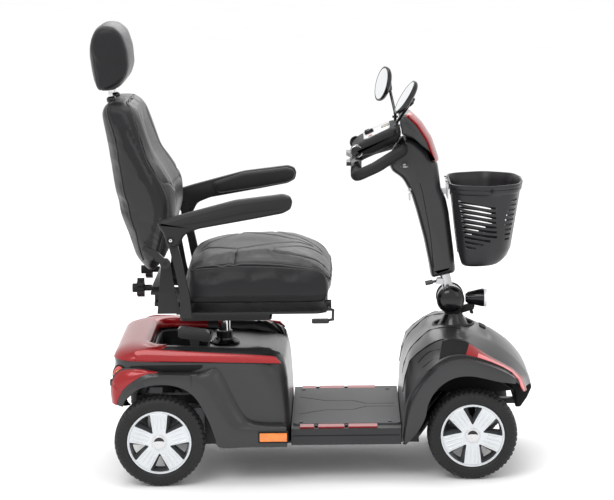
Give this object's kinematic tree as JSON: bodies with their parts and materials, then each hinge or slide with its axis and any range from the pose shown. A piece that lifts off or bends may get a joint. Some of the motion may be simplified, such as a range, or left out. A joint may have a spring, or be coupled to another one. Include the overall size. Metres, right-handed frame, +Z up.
{
  "type": "mobility scooter",
  "caption": "Four-wheel electric mobility scooter with a swivelling captain's seat, tilting tiller, delta handlebar, mirrors, lamp and front basket, with its joints.",
  "frame": {"origin": "on the floor the wheels stand on, under the centre of the bounding box", "axes": "+X forward, +Y to the rider's left, +Z up"},
  "size_m": [1.29, 0.652, 1.33],
  "materials": {
    "frame_paint": "satin black",
    "cast_alloy": "cast",
    "battery_case": "fine grain",
    "charcoal_plastic": "satin moulded",
    "charcoal_matte": "fine grain",
    "red_metallic": "metallic red under clear coat",
    "lamp_plastic": "clear coloured",
    "mat_rubber": "moulded mat",
    "screw_black": "black oxide",
    "bright_steel": "brushed",
    "gloss_black": "gloss",
    "lever_black": "matt",
    "grip_rubber": "soft grip",
    "button_red": "gloss",
    "basket_black": "fine grain",
    "lever_grey": "matt",
    "chrome_post": "polished",
    "seat_steel": "satin black",
    "seat_vinyl": "grained vinyl",
    "mirror_glass": "silvered",
    "armrest_pu": "skinned foam",
    "silver_rim": "silver paint",
    "tyre_rubber": "rubber"
  },
  "bodies": {
    "chassis": {"main_frame": "frame_paint", "transaxle": "cast_alloy", "batteries": "battery_case", "rear_body_shell": "charcoal_plastic", "rear_top_cover": "red_metallic", "rear_fenders": "charcoal_plastic", "lamps_reflectors": "lamp_plastic", "floor_pan": "charcoal_matte", "floor_mat": "mat_rubber", "deck_trim_strips": "red_metallic", "deck_screws": "screw_black", "front_cowl": "charcoal_plastic", "front_fenders": "charcoal_plastic", "front_accents": "red_metallic"},
    "rear_left_wheel": {"rear_left_rim": "silver_rim", "rear_left_tyre": "tyre_rubber"},
    "rear_right_wheel": {"rear_right_rim": "silver_rim", "rear_right_tyre": "tyre_rubber"},
    "front_left_wheel": {"front_left_rim": "silver_rim", "front_left_tyre": "tyre_rubber"},
    "front_right_wheel": {"front_right_rim": "silver_rim", "front_right_tyre": "tyre_rubber"},
    "left_knuckle": {"left_steering_knuckle": "frame_paint"},
    "right_knuckle": {"right_steering_knuckle": "frame_paint"},
    "tie_rods": {"tie_rods": "bright_steel"},
    "steering": {"steering_stem": "frame_paint", "tilt_joint_housing": "gloss_black", "headlight": "gloss_black"},
    "tiller": {"tiller_tube": "bright_steel", "tiller_shroud": "charcoal_plastic", "tiller_front_cover": "red_metallic", "dash_console": "gloss_black", "delta_handlebar": "grip_rubber", "mirror_stalks": "lever_black"},
    "tilt_lever": {"tilt_lever": "lever_black"},
    "throttle": {"throttle_lever": "lever_black"},
    "speed_dial": {"speed_dial": "lever_black"},
    "horn_button": {"horn_button": "button_red"},
    "key": {"ignition_key": "bright_steel"},
    "left_mirror": {"left_mirror": "gloss_black", "left_mirror_glass": "mirror_glass"},
    "right_mirror": {"right_mirror": "gloss_black", "right_mirror_glass": "mirror_glass"},
    "basket": {"basket": "basket_black"},
    "freewheel_lever": {"freewheel_lever": "lever_grey"},
    "seat_post": {"seat_post": "chrome_post"},
    "seat_swivel": {"seat_swivel_plate": "seat_steel"},
    "seat_base": {"seat_base_frame": "seat_steel", "seat_cushion": "seat_vinyl"},
    "swivel_lever": {"swivel_lever": "lever_black"},
    "recline_lever": {"recline_lever": "lever_black"},
    "backrest": {"backrest": "seat_vinyl"},
    "headrest": {"headrest": "seat_vinyl", "headrest_posts": "chrome_post"},
    "left_arm_bracket": {"left_armrest_bracket": "seat_steel"},
    "right_arm_bracket": {"right_armrest_bracket": "seat_steel"},
    "left_armrest": {"left_armrest": "armrest_pu"},
    "right_armrest": {"right_armrest": "armrest_pu"},
    "left_clamp_knob": {"left_clamp_knob": "lever_black"},
    "right_clamp_knob": {"right_clamp_knob": "lever_black"}
  },
  "joints": [
    {"name": "rear_left_wheel_spin", "type": "hinge", "parent": "chassis", "child": "rear_left_wheel", "pos_m": [-0.451, 0.266, 0.132], "axis": [0, 1, 0], "continuous": true},
    {"name": "rear_right_wheel_spin", "type": "hinge", "parent": "chassis", "child": "rear_right_wheel", "pos_m": [-0.451, -0.266, 0.132], "axis": [0, 1, 0], "continuous": true},
    {"name": "left_kingpin", "type": "hinge", "parent": "chassis", "child": "left_knuckle", "pos_m": [0.457, 0.15, 0.132], "axis": [0, 0, 1], "range_deg": [-30, 30]},
    {"name": "right_kingpin", "type": "hinge", "parent": "chassis", "child": "right_knuckle", "pos_m": [0.457, -0.15, 0.132], "axis": [0, 0, 1], "range_deg": [-30, 30]},
    {"name": "front_left_wheel_spin", "type": "hinge", "parent": "left_knuckle", "child": "front_left_wheel", "pos_m": [0.457, 0.223, 0.132], "axis": [0, 1, 0], "continuous": true},
    {"name": "front_right_wheel_spin", "type": "hinge", "parent": "right_knuckle", "child": "front_right_wheel", "pos_m": [0.457, -0.223, 0.132], "axis": [0, 1, 0], "continuous": true},
    {"name": "tiller_steer", "type": "hinge", "parent": "chassis", "child": "steering", "pos_m": [0.413, 0, 0.3], "axis": [0, 0, 1], "range_deg": [-30, 30]},
    {"name": "tie_rod_pivot", "type": "hinge", "parent": "steering", "child": "tie_rods", "pos_m": [0.363, 0, 0.116], "axis": [0, 0, 1], "range_deg": [-30, 30]},
    {"name": "tiller_tilt", "type": "hinge", "parent": "steering", "child": "tiller", "pos_m": [0.404, 0, 0.492], "axis": [0, -1, 0], "range_deg": [-8, 25]},
    {"name": "tilt_release_lever", "type": "hinge", "parent": "tiller", "child": "tilt_lever", "pos_m": [0.367, 0, 0.543], "axis": [0, -1, 0], "range_deg": [0, 15], "stiffness_Nm_per_rad": 1.5, "springref_deg": -5.73},
    {"name": "throttle_wigwag", "type": "hinge", "parent": "tiller", "child": "throttle", "pos_m": [0.14, 0, 0.925], "axis": [0, 0, 1], "range_deg": [-14, 14], "stiffness_Nm_per_rad": 0.8},
    {"name": "speed_dial_turn", "type": "hinge", "parent": "tiller", "child": "speed_dial", "pos_m": [0.168, 0, 0.9884], "axis": [-0.4067, 0, 0.9135], "range_deg": [-270, 0]},
    {"name": "horn_press", "type": "slide", "parent": "tiller", "child": "horn_button", "axis": [0.4067, 0, -0.9135], "range_m": [0, 0.0022], "stiffness_N_per_m": 400, "springref_m": -0.001},
    {"name": "key_turn", "type": "hinge", "parent": "tiller", "child": "key", "pos_m": [0.268, -0.06, 0.9], "axis": [0, 1, 0], "range_deg": [0, 40]},
    {"name": "right_mirror_swivel", "type": "hinge", "parent": "tiller", "child": "right_mirror", "pos_m": [0.28758, -0.19184, 1.10422], "axis": [0.3642, -0.6993, 0.6151], "range_deg": [-25, 25]},
    {"name": "left_mirror_swivel", "type": "hinge", "parent": "tiller", "child": "left_mirror", "pos_m": [0.2294, 0.20136, 1.10976], "axis": [-0.1403, 0.7552, 0.6403], "range_deg": [-25, 25]},
    {"name": "basket_lift_off", "type": "slide", "parent": "tiller", "child": "basket", "axis": [0, 0, 1], "range_m": [0, 0.06]},
    {"name": "freewheel_lever_turn", "type": "hinge", "parent": "chassis", "child": "freewheel_lever", "pos_m": [-0.355, -0.097, 0.33], "axis": [0, 1, 0], "range_deg": [-25, 0]},
    {"name": "seat_height", "type": "slide", "parent": "chassis", "child": "seat_post", "axis": [0, 0, 1], "range_m": [0, 0.075]},
    {"name": "seat_swivel_turn", "type": "hinge", "parent": "seat_post", "child": "seat_swivel", "pos_m": [-0.272, 0, 0.459], "axis": [0, 0, 1], "continuous": true},
    {"name": "seat_fore_aft", "type": "slide", "parent": "seat_swivel", "child": "seat_base", "axis": [1, 0, 0], "range_m": [-0.05, 0.05]},
    {"name": "swivel_release_lever", "type": "hinge", "parent": "seat_base", "child": "swivel_lever", "pos_m": [0.041, -0.18, 0.508], "axis": [0, 1, 0], "range_deg": [0, 14], "stiffness_Nm_per_rad": 1.5, "springref_deg": -5.73},
    {"name": "backrest_recline", "type": "hinge", "parent": "seat_base", "child": "backrest", "pos_m": [-0.425, 0, 0.65], "axis": [0, 1, 0], "range_deg": [-25, 50]},
    {"name": "recline_release_lever", "type": "hinge", "parent": "seat_base", "child": "recline_lever", "pos_m": [-0.425, -0.257, 0.65], "axis": [0, 1, 0], "range_deg": [0, 20], "stiffness_Nm_per_rad": 1, "springref_deg": -5.73},
    {"name": "headrest_height", "type": "slide", "parent": "backrest", "child": "headrest", "axis": [-0.174, 0, 0.9848], "range_m": [0, 0.06]},
    {"name": "left_armrest_width", "type": "slide", "parent": "seat_base", "child": "left_arm_bracket", "axis": [0, 1, 0], "range_m": [0, 0.05]},
    {"name": "left_armrest_flip", "type": "hinge", "parent": "left_arm_bracket", "child": "left_armrest", "pos_m": [-0.403, 0.307, 0.728], "axis": [0, -1, 0], "range_deg": [0, 95]},
    {"name": "left_clamp_knob_turn", "type": "hinge", "parent": "seat_base", "child": "left_clamp_knob", "pos_m": [-0.49, 0.15, 0.56], "axis": [-1, 0, 0], "continuous": true},
    {"name": "right_armrest_width", "type": "slide", "parent": "seat_base", "child": "right_arm_bracket", "axis": [0, -1, 0], "range_m": [0, 0.05]},
    {"name": "right_armrest_flip", "type": "hinge", "parent": "right_arm_bracket", "child": "right_armrest", "pos_m": [-0.403, -0.307, 0.728], "axis": [0, -1, 0], "range_deg": [0, 95]},
    {"name": "right_clamp_knob_turn", "type": "hinge", "parent": "seat_base", "child": "right_clamp_knob", "pos_m": [-0.49, -0.15, 0.56], "axis": [-1, 0, 0], "continuous": true}
  ],
  "couplings": [
    {"joint": "left_kingpin", "follows": "tiller_steer", "ratio": 1},
    {"joint": "right_kingpin", "follows": "tiller_steer", "ratio": 1},
    {"joint": "tie_rod_pivot", "follows": "tiller_steer", "ratio": -1}
  ]
}
